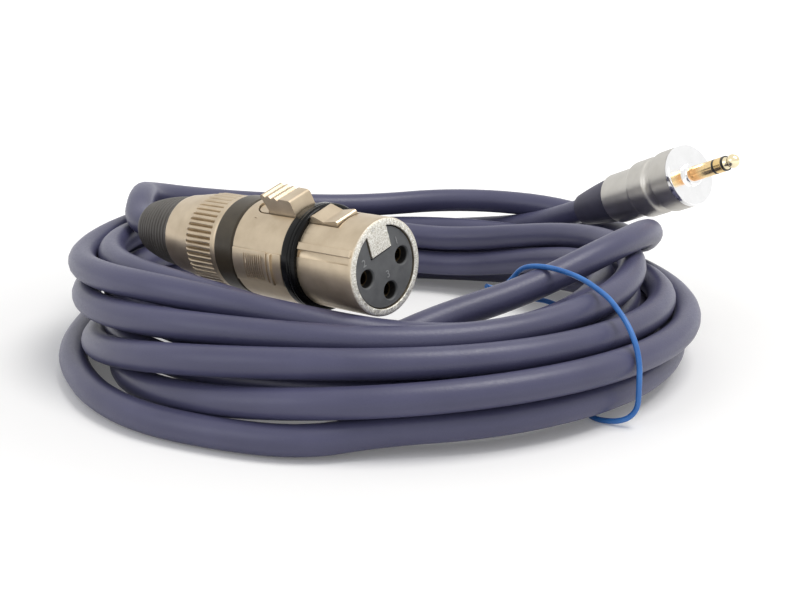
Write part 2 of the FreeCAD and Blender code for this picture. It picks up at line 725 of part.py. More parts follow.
def cable_end(front, back):
    return turned([
        (JACKET_BORE_R, -front), (CABLE_D / 2, -front), (CABLE_D / 2, -back),
        (JACKET_BORE_R, -back)])


def core(x, y, spot, diameter):
    """Insulated core or bare wire from a contact's cup back into the jacket."""
    cup = CONTACT_SINK + CONTACT_L - CUP_L
    edges, radii = rounded_path([
        V(spot[0], spot[1], -cup), V(spot[0], spot[1], -cup - 7.5),
        V(x, y, -JACKET_CUT + 1.5), V(x, y, -BOOT_END)])
    return sweep(edges, diameter)


save("front_shell", front_shell(), XLR)
save("insert", insert(), XLR)
save("insert_rear", insert_rear(), XLR)
save("insert_screw", insert_screw(), XLR)
for number, spot in enumerate(contact_spots(), 1):
    save("contact_%d" % number, contact(*spot), XLR)
save("seal_ring", seal_ring(), XLR)
save("rear_body", rear_body(), XLR)
save("rear_band", rear_band(), XLR)
save("latch_lever", latch_lever(), XLR)
save("latch_pin", pin_hole(LATCH_PIN_R), XLR)
save("latch_spring", latch_spring(), XLR)
save("knurled_nut", knurled_nut(), XLR)
save("boot", boot(), XLR)
save("cable_chuck", cable_chuck(), XLR)
save("xlr_cable_end", cable_end(JACKET_CUT, BOOT_END + STUB), XLR)
save("core_red", core(0, CORE_OFFSET, contact_spots()[0], CORE_D), XLR)
save("core_white", core(0, -CORE_OFFSET, contact_spots()[1], CORE_D), XLR)
save("drain_wire", core(-DRAIN_OFFSET, 0, contact_spots()[2], DRAIN_D), XLR)


def jack_tip():
    start = COLLAR_L + PLUG_SLEEVE_L + PLUG_RING_L + 2 * PLUG_BAND_L
    end = start + PLUG_TIP_L
    return turned([
        (0, -JACK_SOLDER_Z), (PLUG_CORE_R, -JACK_SOLDER_Z), (PLUG_CORE_R, start),
        (PLUG_TIP_WAIST_R + 0.3, start), (PLUG_TIP_WAIST_R, start + 0.7),
        (PLUG_R - 0.15, start + 1.5), (PLUG_R - 0.2, start + 2.0), (0.7, end - 0.3),
        (0, end)])


def jack_bands():
    sleeve = COLLAR_L + PLUG_SLEEVE_L
    ring = sleeve + PLUG_BAND_L + PLUG_RING_L
    inner = PLUG_R - PLUG_WALL
    return turned([
        (PLUG_CORE_R, -JACK_BODY_L), (inner, -JACK_BODY_L), (inner, sleeve), (PLUG_R, sleeve),
        (PLUG_R, sleeve + PLUG_BAND_L), (inner, sleeve + PLUG_BAND_L), (inner, ring),
        (PLUG_R, ring), (PLUG_R, ring + PLUG_BAND_L), (PLUG_CORE_R, ring + PLUG_BAND_L)])


def jack_ring():
    start = COLLAR_L + PLUG_SLEEVE_L + PLUG_BAND_L
    inner = PLUG_R - PLUG_WALL
    return rod(PLUG_R, start, start + PLUG_RING_L).cut(rod(inner, start - 1, start + PLUG_RING_L + 1))


def jack_sleeve():
    inner = PLUG_R - PLUG_WALL
    end = COLLAR_L + PLUG_SLEEVE_L
    tail = rod(PLUG_TAIL_R, -JACK_BODY_L, COLLAR_L)
    return rod(PLUG_R, COLLAR_L, end).fuse(tail).cut(rod(inner, -JACK_BODY_L - 1, end + 1))


def jack_collar():
    back = JACK_FLANGE_L + JACK_BODY_L
    body = turned([
        (PLUG_TAIL_R, COLLAR_L), (COLLAR_R - 0.2, COLLAR_L), (COLLAR_R, COLLAR_L - 0.2),
        (COLLAR_R, 0), (BARREL_FRONT_R - 0.3, 0), (BARREL_FRONT_R, -0.3),
        (BARREL_FRONT_R, -JACK_FLANGE_L), (JACK_BODY_R, -JACK_FLANGE_L),
        (JACK_BODY_R, -back), (PLUG_TAIL_R, -back)])
    ear = block(CABLE_D / 2, CABLE_D / 2 + JACK_EAR_T, -JACK_EAR_W / 2, JACK_EAR_W / 2,
                -back - JACK_EAR_L, -back + 1)
    return body.fuse(ear)


def jack_barrel():
    front = JACK_FLANGE_L + SEAM
    thread_end = JACK_FLANGE_L + JACK_BODY_L
    waist = BARREL_FRONT_L + BARREL_WAIST_L
    middle = waist + BARREL_MID_L
    wall = BARREL_L - BARREL_BACK_WALL
    hole = JACK_BOOT_NECK_R + THREAD_FIT
    thread = JACK_BODY_R + THREAD_FIT
    return turned([
        (thread, -front), (BARREL_FRONT_R, -front), (BARREL_FRONT_R, -BARREL_FRONT_L + 0.4),
        (BARREL_FRONT_R - 0.4, -BARREL_FRONT_L), (BARREL_WAIST_R, -BARREL_FRONT_L),
        (BARREL_WAIST_R, -waist), (BARREL_MID_R - 0.3, -waist), (BARREL_MID_R, -waist - 0.3),
        (BARREL_MID_R, -middle + 0.3), (BARREL_MID_R - 0.3, -middle), (BARREL_BACK_R, -middle),
        (BARREL_BACK_R, -BARREL_L + 0.3), (BARREL_BACK_R - 0.3, -BARREL_L),
        (hole, -BARREL_L), (hole, -wall), (BARREL_BORE_R, -wall), (BARREL_BORE_R, -thread_end),
        (thread, -thread_end)])


def jack_liner():
    front = JACK_FLANGE_L + JACK_BODY_L
    return rod(LINER_R, -front, -front - LINER_L).cut(
        rod(LINER_R - LINER_WALL, -front + 1, -front - LINER_L - 1))


def jack_boot():
    wall = BARREL_L - BARREL_BACK_WALL
    bore = CABLE_D / 2 + BORE_FIT
    flange = BARREL_BORE_R - THREAD_FIT
    return turned([
        (bore, -wall + JACK_BOOT_FLANGE_L), (flange, -wall + JACK_BOOT_FLANGE_L),
        (flange, -wall + 0.05), (JACK_BOOT_NECK_R, -wall + 0.05),
        (JACK_BOOT_NECK_R, -BARREL_L - 0.05), (JACK_BOOT_R, -BARREL_L - 0.05),
        (JACK_BOOT_R - 0.5, -BARREL_L - 5), (JACK_BOOT_BACK_R, -JACK_BOOT_END),
        (bore, -JACK_BOOT_END)])


def jack_core(y):
    return rod(CORE_D / 2, -JACK_SOLDER_Z, -JACK_BOOT_END, 0, y)


save("jack_tip", jack_tip(), JACK)
save("jack_ring", jack_ring(), JACK)
save("jack_sleeve", jack_sleeve(), JACK)
save("jack_bands", jack_bands(), JACK)
save("jack_collar", jack_collar(), JACK)
save("jack_barrel", jack_barrel(), JACK)
save("jack_liner", jack_liner(), JACK)
save("jack_boot", jack_boot(), JACK)
save("jack_cable_end", cable_end(JACK_JACKET_CUT, JACK_BOOT_END + STUB), JACK)
save("jack_core_red", jack_core(CORE_OFFSET), JACK)
save("jack_core_white", jack_core(-CORE_OFFSET), JACK)
print("box %.2f %.2f %.2f to %.2f %.2f %.2f" % (
    BOX.XMin, BOX.YMin, BOX.ZMin, BOX.XMax, BOX.YMax, BOX.ZMax))
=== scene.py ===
import math
import bpy
from mathutils import Matrix, Vector


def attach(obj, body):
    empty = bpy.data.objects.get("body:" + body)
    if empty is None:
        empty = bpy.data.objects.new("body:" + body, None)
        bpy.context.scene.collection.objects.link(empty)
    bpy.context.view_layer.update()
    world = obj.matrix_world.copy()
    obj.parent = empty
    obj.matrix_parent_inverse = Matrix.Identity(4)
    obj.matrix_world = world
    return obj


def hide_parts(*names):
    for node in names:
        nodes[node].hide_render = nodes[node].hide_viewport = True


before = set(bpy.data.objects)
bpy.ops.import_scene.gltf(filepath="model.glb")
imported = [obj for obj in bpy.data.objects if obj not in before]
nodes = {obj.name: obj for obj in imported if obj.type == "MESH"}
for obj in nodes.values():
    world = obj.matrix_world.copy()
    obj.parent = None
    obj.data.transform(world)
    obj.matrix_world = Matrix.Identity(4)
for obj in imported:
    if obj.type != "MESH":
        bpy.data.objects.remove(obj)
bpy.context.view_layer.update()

# The camera stands in front of the coil and a little above it, at the height and tilt
# that the photograph was taken from.
LOOKS_DOWN = 15.5
camera = bpy.data.objects.new("camera", bpy.data.cameras.new("camera"))
bpy.context.scene.collection.objects.link(camera)
camera.data.sensor_width = 36
camera.data.lens = 63.77
camera.location = (0.004778, -0.308293, 0.095)
camera.rotation_euler = (math.radians(90 - LOOKS_DOWN), 0, 0)
bpy.context.scene.camera = camera


# The cable is three metres of soft slate-blue PVC lead, 6 mm thick. It leaves the big
# connector at the left, goes once round the back, winds seven turns clockwise and down in
# four layers, lies round the outside on the floor, and climbs at the back to the plug.
CABLE_D = 0.006
# The middle of the rings, in millimetres from the frame's origin
COIL_X, COIL_Y = 1.178, 1.107


def in_metres(points):
    """Points measured in millimetres from the middle of the rings."""
    return [Vector((x + COIL_X, y + COIL_Y, z)) * 0.001 for x, y, z in points]


def lay_cord(name, points, diameter, roundness):
    """Cord along one smooth spline with these control points."""
    line = bpy.data.curves.new(name, "CURVE")
    line.dimensions = "3D"
    spline = line.splines.new("NURBS")
    spline.points.add(len(points) - 1)
    for point, place in zip(spline.points, points):
        point.co = (*place, 1)
    spline.order_u = 3
    spline.use_endpoint_u = True
    line.resolution_u = 8
    line.bevel_depth = diameter / 2
    line.bevel_resolution = roundness
    line.use_fill_caps = True
    cord = bpy.data.objects.new(name, line)
    bpy.context.scene.collection.objects.link(cord)
    return cord


def round_the_ring(values, angle):
    """Smooth value at an angle from its front, left, back and right values."""
    front, left, back, right = values
    return ((front + left + back + right) / 4
            + (right - left) / 2 * math.cos(angle) + (back - front) / 2 * math.sin(angle)
            + (left + right - front - back) / 4 * math.cos(2 * angle))


def ease(x):
    """From 0 to 1, slow at both ends."""
    x = min(1, max(0, x))
    return x * x * (3 - 2 * x)


TURNS = 7
POINTS_A_TURN = 24
LAYERS = 4
TURNS_A_LAYER = TURNS / LAYERS
PITCH = 6.501

turns = []
for step in range(TURNS * POINTS_A_TURN + 1):
    turn = step / POINTS_A_TURN
    angle = -math.pi / 2 - 2 * math.pi * turn
    layer, along = divmod(turn, TURNS_A_LAYER)
    across = along if int(layer) % 2 == 0 else TURNS_A_LAYER - along
    height = LAYERS - 1 - sum(ease((turn - k * TURNS_A_LAYER + 0.25) / 0.5) for k in (1, 2, 3))
    # Each layer leans outward by its own angle in front, at the left, behind and at the right
    lean = math.radians(round_the_ring((69.569, -12.0, 80.919, 61.043), angle))
    settle = round_the_ring((-0.056, 0.619, 0.146, -0.046), angle)
    # The first turn starts a little inside the rest and above it, and from the fourth on
    # they tuck in under the others at the left
    start = 1 - ease(turn / 0.22)
    low = min(1, max(0, (turn - 3.0) / 2.25))
    tuck = 4.1 * low * max(0, -math.cos(angle)) ** 4
    radius = (1.004 * round_the_ring((71.256, 54.058, 63.105, 62.462), angle)
              - 3.2 * start - tuck
              + PITCH * (across * math.cos(lean) - height * math.sin(lean)))
    rise = (2.5 + round_the_ring((1.977, 0.653, 0.448, 0.56), angle) + 2.4 * start
            + PITCH * (height * math.cos(lean) + (across - settle) * math.sin(lean)))
    turns.append((radius * math.cos(angle), radius * math.sin(angle), rise))

from_connector = [
    (-50.865, -2.671, 27.083), (-55.659, 1.716, 26.85), (-56.5, 14.9, 30.4),
    (-57.8, 30.5, 27.7), (-48.9, 41.9, 24.1), (-33.8, 53.5, 20.5), (-8.1, 64.8, 17.3),
    (21.0, 68.7, 19.0), (50.6, 58.6, 17.8), (62.7, 32.2, 14.2), (60.7, 0.0, 25.9),
    (49.3, -20.8, 27.1), (29.6, -33.6, 20.6), (11.2, -43.6, 17.4)]
to_plug = [
    (-14.2, -74.2, 3.3), (-32.5, -67.6, 3.1), (-47.0, -58.6, 3.1), (-58.8, -43.2, 3.1),
    (-68.5, -16.5, 3.1), (-66.9, 20.7, 3.1), (-51.6, 50.4, 3.4), (-25.6, 65.9, 5.4),
    (3.0, 73.9, 8.6), (24.5, 70.6, 10.1), (37.6, 60.8, 13.1), (45.9, 49.0, 18.04),
    (49.923, 43.928, 20.685)]
cable = lay_cord("cable", in_metres(from_connector + turns + to_plug), CABLE_D, 7)


def new_group(name, inputs, outputs):
    """Empty shader node group with its sockets, and its input and output nodes."""
    group = bpy.data.node_groups.new(name, "ShaderNodeTree")
    for label, kind, value in inputs:
        socket = group.interface.new_socket(name=label, in_out="INPUT", socket_type=kind)
        socket.default_value = value
    for label, kind in outputs:
        group.interface.new_socket(name=label, in_out="OUTPUT", socket_type=kind)
    return group, group.nodes.new("NodeGroupInput"), group.nodes.new("NodeGroupOutput")


def join(tree, *pairs):
    """Link each output socket to its input socket."""
    for out, into in pairs:
        tree.links.new(out, into)


# Soft patches of two shades, with a fine grain that also lifts the surface
patchy, given, result = new_group(
    "patches and grain",
    [("Dark", "NodeSocketColor", (0, 0, 0, 1)), ("Light", "NodeSocketColor", (1, 1, 1, 1)),
     ("Patch Scale", "NodeSocketFloat", 100.0), ("Grain Scale", "NodeSocketFloat", 3000.0)],
    [("Color", "NodeSocketColor"), ("Grain", "NodeSocketFloat")])
where = patchy.nodes.new("ShaderNodeTexCoord")
patch = patchy.nodes.new("ShaderNodeTexNoise")
patch.inputs["Detail"].default_value = 3
grain = patchy.nodes.new("ShaderNodeTexNoise")
grain.inputs["Detail"].default_value = 2
both = patchy.nodes.new("ShaderNodeMath")
both.operation = "MULTIPLY_ADD"
both.inputs[1].default_value = 0.25
shades = patchy.nodes.new("ShaderNodeMix")
shades.data_type = "RGBA"
spread = patchy.nodes.new("ShaderNodeMapRange")
spread.inputs["From Min"].default_value = 0.35
spread.inputs["From Max"].default_value = 0.85
join(patchy,
     (where.outputs["Object"], patch.inputs["Vector"]),
     (where.outputs["Object"], grain.inputs["Vector"]),
     (given.outputs["Patch Scale"], patch.inputs["Scale"]),
     (given.outputs["Grain Scale"], grain.inputs["Scale"]),
     (grain.outputs["Fac"], both.inputs[0]), (patch.outputs["Fac"], both.inputs[2]),
     (both.outputs[0], spread.inputs["Value"]),
     (spread.outputs["Result"], shades.inputs["Factor"]),
     (given.outputs["Dark"], shades.inputs["A"]), (given.outputs["Light"], shades.inputs["B"]),
     (shades.outputs["Result"], result.inputs["Color"]),
     (grain.outputs["Fac"], result.inputs["Grain"]))


def new_finish(name, dark, light, patch_scale, grain_scale, rough, relief, metallic=0.0):
    """Surface in patches of two shades, its roughness between two values and its grain
    standing up by the relief, in metres. Returns it, its tree, and its shader, shades,
    gloss and bump nodes."""
    finish = bpy.data.materials.new(name)
    finish.use_nodes = True
    tree = finish.node_tree
    shader = tree.nodes["Principled BSDF"]
    shader.inputs["Metallic"].default_value = metallic
    shades = tree.nodes.new("ShaderNodeGroup")
    shades.node_tree = patchy
    shades.inputs["Dark"].default_value = (*dark, 1)
    shades.inputs["Light"].default_value = (*light, 1)
    shades.inputs["Patch Scale"].default_value = patch_scale
    shades.inputs["Grain Scale"].default_value = grain_scale
    gloss = tree.nodes.new("ShaderNodeMapRange")
    gloss.inputs["From Min"].default_value = 0.3
    gloss.inputs["From Max"].default_value = 0.7
    gloss.inputs["To Min"].default_value = rough[0]
    gloss.inputs["To Max"].default_value = rough[1]
    bump = tree.nodes.new("ShaderNodeBump")
    bump.inputs["Distance"].default_value = relief
    join(tree,
         (shades.outputs["Color"], shader.inputs["Base Color"]),
         (shades.outputs["Grain"], gloss.inputs["Value"]),
         (gloss.outputs["Result"], shader.inputs["Roughness"]),
         (shades.outputs["Grain"], bump.inputs["Height"]),
         (bump.outputs["Normal"], shader.inputs["Normal"]))
    return finish, tree, shader, shades, gloss, bump


def dress(finish, *names):
    """Give the surface to pieces that stay as the frame has them."""
    for name in names:
        nodes[name].data.materials.clear()
        nodes[name].data.materials.append(finish)


jacket = new_finish("slate pvc", (0.058, 0.058, 0.116), (0.080, 0.080, 0.152),
                    60, 2600, (0.34, 0.46), 0.00003)[0]
cable.data.materials.append(jacket)
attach(cable, "root")
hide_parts("cable_coil", "xlr_lead", "jack_lead")
dress(jacket, "xlr_cable_end", "jack_cable_end")


# The tie is a short piece of blue plastic-coated wire, put round the bundle at the front
# right by hand. Its two ends cross behind the top strand, and one stands up a little.
TIE_D = 0.0011
tie_points = [
    (21.2, -30.6, 20.6), (22.4, -29.6, 19.9), (24.2, -28.2, 19.2), (26.4, -28.4, 21.3),
    (28.6, -29.6, 24.6), (33.6, -33.2, 25.4), (39.4, -38.6, 24.5), (43.0, -44.1, 22.8),
    (44.3, -47.8, 22.1), (46.9, -53.1, 18.8), (48.5, -56.7, 13.8), (48.4, -58.0, 7.9),
    (48.4, -57.5, 3.3), (45.3, -56.9, 0.8), (39.3, -52.9, 0.4), (40.6, -46.2, 2.6),
    (41.8, -39.5, 6.7), (41.9, -34.2, 9.2), (40.5, -30.3, 11.5), (38.4, -28.3, 14.1),
    (34.9, -28.0, 16.7), (28.9, -28.4, 17.6), (22.9, -28.9, 18.9)]
tie = lay_cord("tie", in_metres(tie_points), TIE_D, 4)
tie_blue = new_finish("blue coated wire", (0.020, 0.125, 0.42), (0.045, 0.21, 0.60),
                      180, 4000, (0.28, 0.42), 0.00003)[0]
tie.data.materials.append(tie_blue)
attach(tie, "root")
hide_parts("tie_wire", "tie_twist")


# The connector's shell is cast in zinc, turned and nickel plated with a satin finish. It
# is modelled in millimetres from the middle of its face, pointing up, and then laid over.
def lay_along(origin, axis, roll):
    """Matrix from a piece's own millimetres to its place, Z along the axis and X up."""
    z = axis.normalized()
    side = Vector((0, 0, 1)).cross(z).normalized()
    x = z.cross(side) * math.cos(roll) - side * math.sin(roll)
    turned = Matrix((x, z.cross(x), z)).transposed().to_4x4()
    return Matrix.Translation(origin) @ turned @ Matrix.Scale(0.001, 4)


CONNECTOR_AXIS = Vector((0.742, -0.679, 0.036)).normalized()
connector = lay_along(in_metres([(1.0, -50.5, 29.6)])[0], CONNECTOR_AXIS, math.radians(17))


def deselect():
    bpy.ops.object.select_all(action="DESELECT")


def draw_line(name, corners):
    """One vertex drawn out from corner to corner, left open in edit mode."""
    deselect()
    bpy.ops.mesh.primitive_plane_add(size=1)
    piece = bpy.context.object
    piece.name = piece.data.name = name
    bpy.ops.object.mode_set(mode="EDIT")
    bpy.ops.mesh.merge(type="CENTER")
    bpy.ops.transform.translate(value=corners[0])
    for here, there in zip(corners, corners[1:]):
        move = [b - a for a, b in zip(here, there)]
        bpy.ops.mesh.extrude_region_move(TRANSFORM_OT_translate={"value": move})
    return piece


def turn_on_lathe(name, profile, steps=120):
    """Solid turned about Z from a closed run of (radius, z) corners."""
    piece = draw_line(name, [(r, 0, z) for r, z in profile])
    bpy.ops.mesh.select_all(action="SELECT")
    bpy.ops.mesh.spin(steps=steps, angle=2 * math.pi, center=(0, 0, 0), axis=(0, 0, 1))
    bpy.ops.mesh.select_all(action="SELECT")
    bpy.ops.mesh.remove_doubles(threshold=0.0005)
    bpy.ops.mesh.normals_make_consistent(inside=False)
    bpy.ops.object.mode_set(mode="OBJECT")
    return piece


def cut_from_bar(name, outline, half_width):
    """Bar across Y with this (x, z) outline."""
    piece = draw_line(name, [(x, -half_width, z) for x, z in outline])
    bpy.ops.mesh.select_all(action="SELECT")
    bpy.ops.mesh.edge_face_add()
    bpy.ops.mesh.extrude_region_move(TRANSFORM_OT_translate={"value": (0, 2 * half_width, 0)})
    bpy.ops.mesh.select_all(action="SELECT")
    bpy.ops.mesh.normals_make_consistent(inside=False)
    bpy.ops.object.mode_set(mode="OBJECT")
    return piece


def box_at(x0, x1, y0, y1, z0, z1):
    """Block between two corners."""
    deselect()
    middle = ((x0 + x1) / 2, (y0 + y1) / 2, (z0 + z1) / 2)
    bpy.ops.mesh.primitive_cube_add(size=1, location=middle)
    block = bpy.context.object
    block.scale = (x1 - x0, y1 - y0, z1 - z0)
    bpy.ops.object.transform_apply(location=True, rotation=False, scale=True)
    return block


def rod_at(radius, z0, z1, sides=64):
    """Rod about Z between two heights."""
    deselect()
    bpy.ops.mesh.primitive_cylinder_add(radius=radius, depth=z1 - z0, vertices=sides,
                                        location=(0, 0, (z0 + z1) / 2))
    bpy.ops.object.transform_apply(location=True, rotation=False, scale=False)
    return bpy.context.object


def work(piece, operation, *tools):
    """Join, cut or keep what is common with each tool, which is then put away."""
    for tool in tools:
        modifier = piece.modifiers.new("work", "BOOLEAN")
        modifier.operation = operation
        modifier.solver = "EXACT"
        modifier.object = tool
        bpy.context.view_layer.objects.active = piece
        bpy.ops.object.modifier_apply(modifier="work")
        bpy.data.objects.remove(tool)


def ease_edges(piece, width, segments=2, sharper_than=30):
    """Round the edges that turn by more than this angle."""
    modifier = piece.modifiers.new("edges", "BEVEL")
    modifier.width = width
    modifier.segments = segments
    modifier.limit_method = "ANGLE"
    modifier.angle_limit = math.radians(sharper_than)
    bpy.context.view_layer.objects.active = piece
    bpy.ops.object.modifier_apply(modifier="edges")


def turn_round(piece, degrees):
    """Turn a piece about Z, from the latch's side round to its own."""
    piece.data.transform(Matrix.Rotation(math.radians(degrees), 4, "Z"))


def fit_in_place(piece, place, body, slot, finish, *replaced):
    """Lay a finished piece in its place and give it its body and surface. The slot is not used.
    """
    deselect()
    piece.select_set(True)
    bpy.context.view_layer.objects.active = piece
    bpy.ops.object.shade_smooth_by_angle(angle=math.radians(35))
    piece.data.transform(place)
    even = piece.modifiers.new("even shading", "WEIGHTED_NORMAL")
    even.keep_sharp = True
    bpy.ops.object.modifier_apply(modifier="even shading")
    piece.data.materials.clear()
    piece.data.materials.append(finish)
    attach(piece, body)
    if replaced:
        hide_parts(*replaced)


NOSE_R = 9.5
ROUND_STEPS = 144
LATCH_SLOT = 3.1
RIB_SIDE = 49
GROOVE_SIDE = 57.6
shell = turn_on_lathe("nose_shell", [
    (8.05, -6.4), (8.05, -0.12), (8.17, 0), (8.9, 0), (9.2, -0.06), (9.42, -0.24),
    (NOSE_R, -0.55), (NOSE_R, -14.5), (9.0, -14.5), (9.0, -30), (8.05, -30), (8.05, -6.4)],
    ROUND_STEPS)
key = box_at(3.2, 8.35, -2.7, 2.7, -6, -0.02)
ease_edges(key, 0.12)
work(shell, "UNION", key)
rib = box_at(9.1, NOSE_R + 0.45, -0.75, 0.75, -14.5, -0.5)
ease_edges(rib, 0.2, 3)
turn_round(rib, RIB_SIDE)
groove = box_at(8.95, 10.5, -0.7, 0.7, -14.4, -0.9)
turn_round(groove, GROOVE_SIDE)
ledge = box_at(5.4, 7.2, -4.6, 4.6, -30, -19.2)
work(shell, "UNION", rib, ledge)
work(shell, "DIFFERENCE", groove, box_at(7.2, 10.5, -LATCH_SLOT, LATCH_SLOT, -31, -6.75))
ease_edges(shell, 0.07, 2, 40)

nickel, tree, shader, shades, gloss, bump = new_finish(
    "satin nickel", (0.50, 0.405, 0.285), (0.63, 0.525, 0.385), 260, 5200, (0.30, 0.46),
    0.000006, 0.78)


def along_axis(tree, place, axis, low, high):
    """Mask that goes from 0 to 1 between two heights, in millimetres, on a piece's axis."""
    spot = tree.nodes.new("ShaderNodeTexCoord")
    depth = tree.nodes.new("ShaderNodeVectorMath")
    depth.operation = "DOT_PRODUCT"
    depth.inputs[1].default_value = axis
    mask = tree.nodes.new("ShaderNodeMapRange")
    level = place.translation.dot(axis)
    mask.inputs["From Min"].default_value = level + low * 0.001
    mask.inputs["From Max"].default_value = level + high * 0.001
    join(tree, (spot.outputs["Object"], depth.inputs[0]),
         (depth.outputs["Value"], mask.inputs["Value"]))
    return mask.outputs["Result"]


def new_mix(tree, a=None, b=None):
    """Mix of two colours, each given here or linked later."""
    mix = tree.nodes.new("ShaderNodeMix")
    mix.data_type = "RGBA"
    if a:
        mix.inputs["A"].default_value = (*a, 1)
    if b:
        mix.inputs["B"].default_value = (*b, 1)
    return mix


# The cast rim and the key's end are coarser than the turned side, and paler: partly the
# cast face's own tone and partly a painted highlight
rim = along_axis(tree, connector, CONNECTOR_AXIS, -0.35, -0.05)
spot = tree.nodes.new("ShaderNodeTexCoord")
speck = tree.nodes.new("ShaderNodeTexNoise")
speck.inputs["Scale"].default_value = 3800
speck.inputs["Detail"].default_value = 4
pale = tree.nodes.new("ShaderNodeMapRange")
pale.inputs["From Min"].default_value = 0.38
pale.inputs["From Max"].default_value = 0.62
# The paler face colour is partly the cast metal and partly a painted highlight
cast_and_highlight = new_mix(tree, (0.60, 0.57, 0.49), (0.95, 0.94, 0.89))
faced = new_mix(tree)
dull = tree.nodes.new("ShaderNodeMix")
dull.inputs["B"].default_value = 0.62
coarse = tree.nodes.new("ShaderNodeBump")
coarse.inputs["Distance"].default_value = 0.00005
cover = tree.nodes.new("ShaderNodeMath")
cover.operation = "MULTIPLY"
join(tree,
     (spot.outputs["Object"], speck.inputs["Vector"]),
     (speck.outputs["Fac"], pale.inputs["Value"]),
     (pale.outputs["Result"], cast_and_highlight.inputs["Factor"]),
     (rim, faced.inputs["Factor"]),
     (shades.outputs["Color"], faced.inputs["A"]),
     (cast_and_highlight.outputs["Result"], faced.inputs["B"]),
     (faced.outputs["Result"], shader.inputs["Base Color"]),
     (rim, dull.inputs["Factor"]),
     (gloss.outputs["Result"], dull.inputs["A"]),
     (dull.outputs["Result"], shader.inputs["Roughness"]),
     (rim, cover.inputs[0]),
     (speck.outputs["Fac"], cover.inputs[1]),
     (cover.outputs[0], coarse.inputs["Height"]),
     (bump.outputs["Normal"], coarse.inputs["Normal"]),
     (coarse.outputs["Normal"], shader.inputs["Normal"]))
fit_in_place(shell, connector, "root", "nickel", nickel, "front_shell")


# The insert is moulded in matt dark grey nylon and sits just inside the rim. It holds the
# three sprung sockets, and each hole has its small raised number.
INSERT_R = 7.82
HOLE_SPOTS = ((0, 5), (0, -5), (-5, 0))
NUMBER_SPOTS = ((2.75, -4.5), (2.55, 4.9), (-2.3, -0.3))
NUMBER_SIZE = 2.1
insert = rod_at(INSERT_R, -15.95, -0.35, 96)
insert.name = insert.data.name = "socket_insert"
ease_edges(insert, 0.12)
work(insert, "DIFFERENCE", box_at(2.88, 9, -2.95, 2.95, -6.15, 1),
     box_at(7.2, 9, -LATCH_SLOT, LATCH_SLOT, -17, -2.6))
for x, y in HOLE_SPOTS:
    hole = turn_on_lathe("hole", [
        (0, 1), (1.98, 1), (1.98, -0.36), (1.80, -0.52), (1.75, -0.7), (1.75, -2), (1.55, -2),
        (1.55, -17), (0, -17), (0, 1)], 40)
    hole.data.transform(Matrix.Translation((x, y, 0)))
    work(insert, "DIFFERENCE", hole)
grey_nylon, tree, shader, shades, *_ = new_finish(
    "grey nylon", (0.098, 0.102, 0.106), (0.140, 0.145, 0.150), 500, 6000, (0.55, 0.72),
    0.00003)
# Down in its holes the nylon is painted black, as painted shade
open_side = along_axis(tree, connector, CONNECTOR_AXIS, -0.95, -0.55)
painted_hole_shade = new_mix(tree, (0.003, 0.003, 0.003))
join(tree,
     (open_side, painted_hole_shade.inputs["Factor"]), (shades.outputs["Color"], painted_hole_shade.inputs["B"]),
     (painted_hole_shade.outputs["Result"], shader.inputs["Base Color"]))
fit_in_place(insert, connector, "root", "insert_plastic", grey_nylon, "insert")
pale_nylon = new_finish("worn grey nylon", (0.25, 0.255, 0.26), (0.33, 0.335, 0.34),
                        500, 6000, (0.5, 0.65), 0.00002)[0]
for digit, (x, y) in zip("123", NUMBER_SPOTS):
    deselect()
    bpy.ops.object.text_add()
    number = bpy.context.object
    number.name = "number_" + digit
    number.data.body = digit
    number.data.size = NUMBER_SIZE
    number.data.extrude = 0.10
    number.data.align_x = "CENTER"
    bpy.ops.object.convert(target="MESH")
    number.data.transform(Matrix.Translation((x, y, -0.36))
                          @ Matrix.Rotation(math.radians(-90), 4, "Z"))
    fit_in_place(number, connector, "root", "insert_plastic", pale_nylon)


# Deeper in are the sprung sockets of brass, darkened all over as painted shade for their
# place deep in the holes, and the steel screw and spring. The insert's rear half, the
# cable's clamp and the plug's liner are of the same grey nylon.
steel = new_finish("spring steel", (0.42, 0.42, 0.43), (0.60, 0.60, 0.60), 400, 5000,
                   (0.22, 0.38), 0.000006, 1.0)[0]
# Brass darkened as painted shade, for sockets that lie deep in their holes
brass_in_painted_shade = new_finish("brass in painted shade", (0.13, 0.09, 0.045), (0.20, 0.145, 0.075), 400, 5000,
                       (0.3, 0.45), 0.000005, 1.0)[0]
dress(brass_in_painted_shade, "contact_1", "contact_2", "contact_3")
dress(steel, "insert_screw", "latch_spring")
dress(grey_nylon, "insert_rear", "cable_chuck", "jack_liner")


# The sealing ring is black moulded rubber with two fine grooves and a slot for the latch.
# It is stretched over the shell between the nose and the body.
ring = turn_on_lathe("sealing_ring", [
    (9.02, -14.52), (9.9, -14.52), (10.25, -14.62), (10.5, -14.85), (10.58, -15.05),
    (10.38, -15.15), (10.38, -15.32), (10.6, -15.42), (10.6, -15.85), (10.4, -15.95),
    (10.4, -16.12), (10.6, -16.24), (10.6, -17.55), (10.5, -17.85), (10.25, -18.04),
    (9.8, -18.08), (9.02, -18.08), (9.02, -14.52)], ROUND_STEPS)
work(ring, "DIFFERENCE", box_at(7.2, 9.75, -LATCH_SLOT, LATCH_SLOT, -19, -13))
ease_edges(ring, 0.05, 2, 40)
black_rubber, _, shader, *_ = new_finish(
    "black rubber", (0.003, 0.003, 0.003), (0.007, 0.007, 0.007), 300, 4500, (0.16, 0.26),
    0.00001)
shader.inputs["Specular IOR Level"].default_value = 0.16
fit_in_place(ring, connector, "root", "black_rubber", black_rubber, "seal_ring")


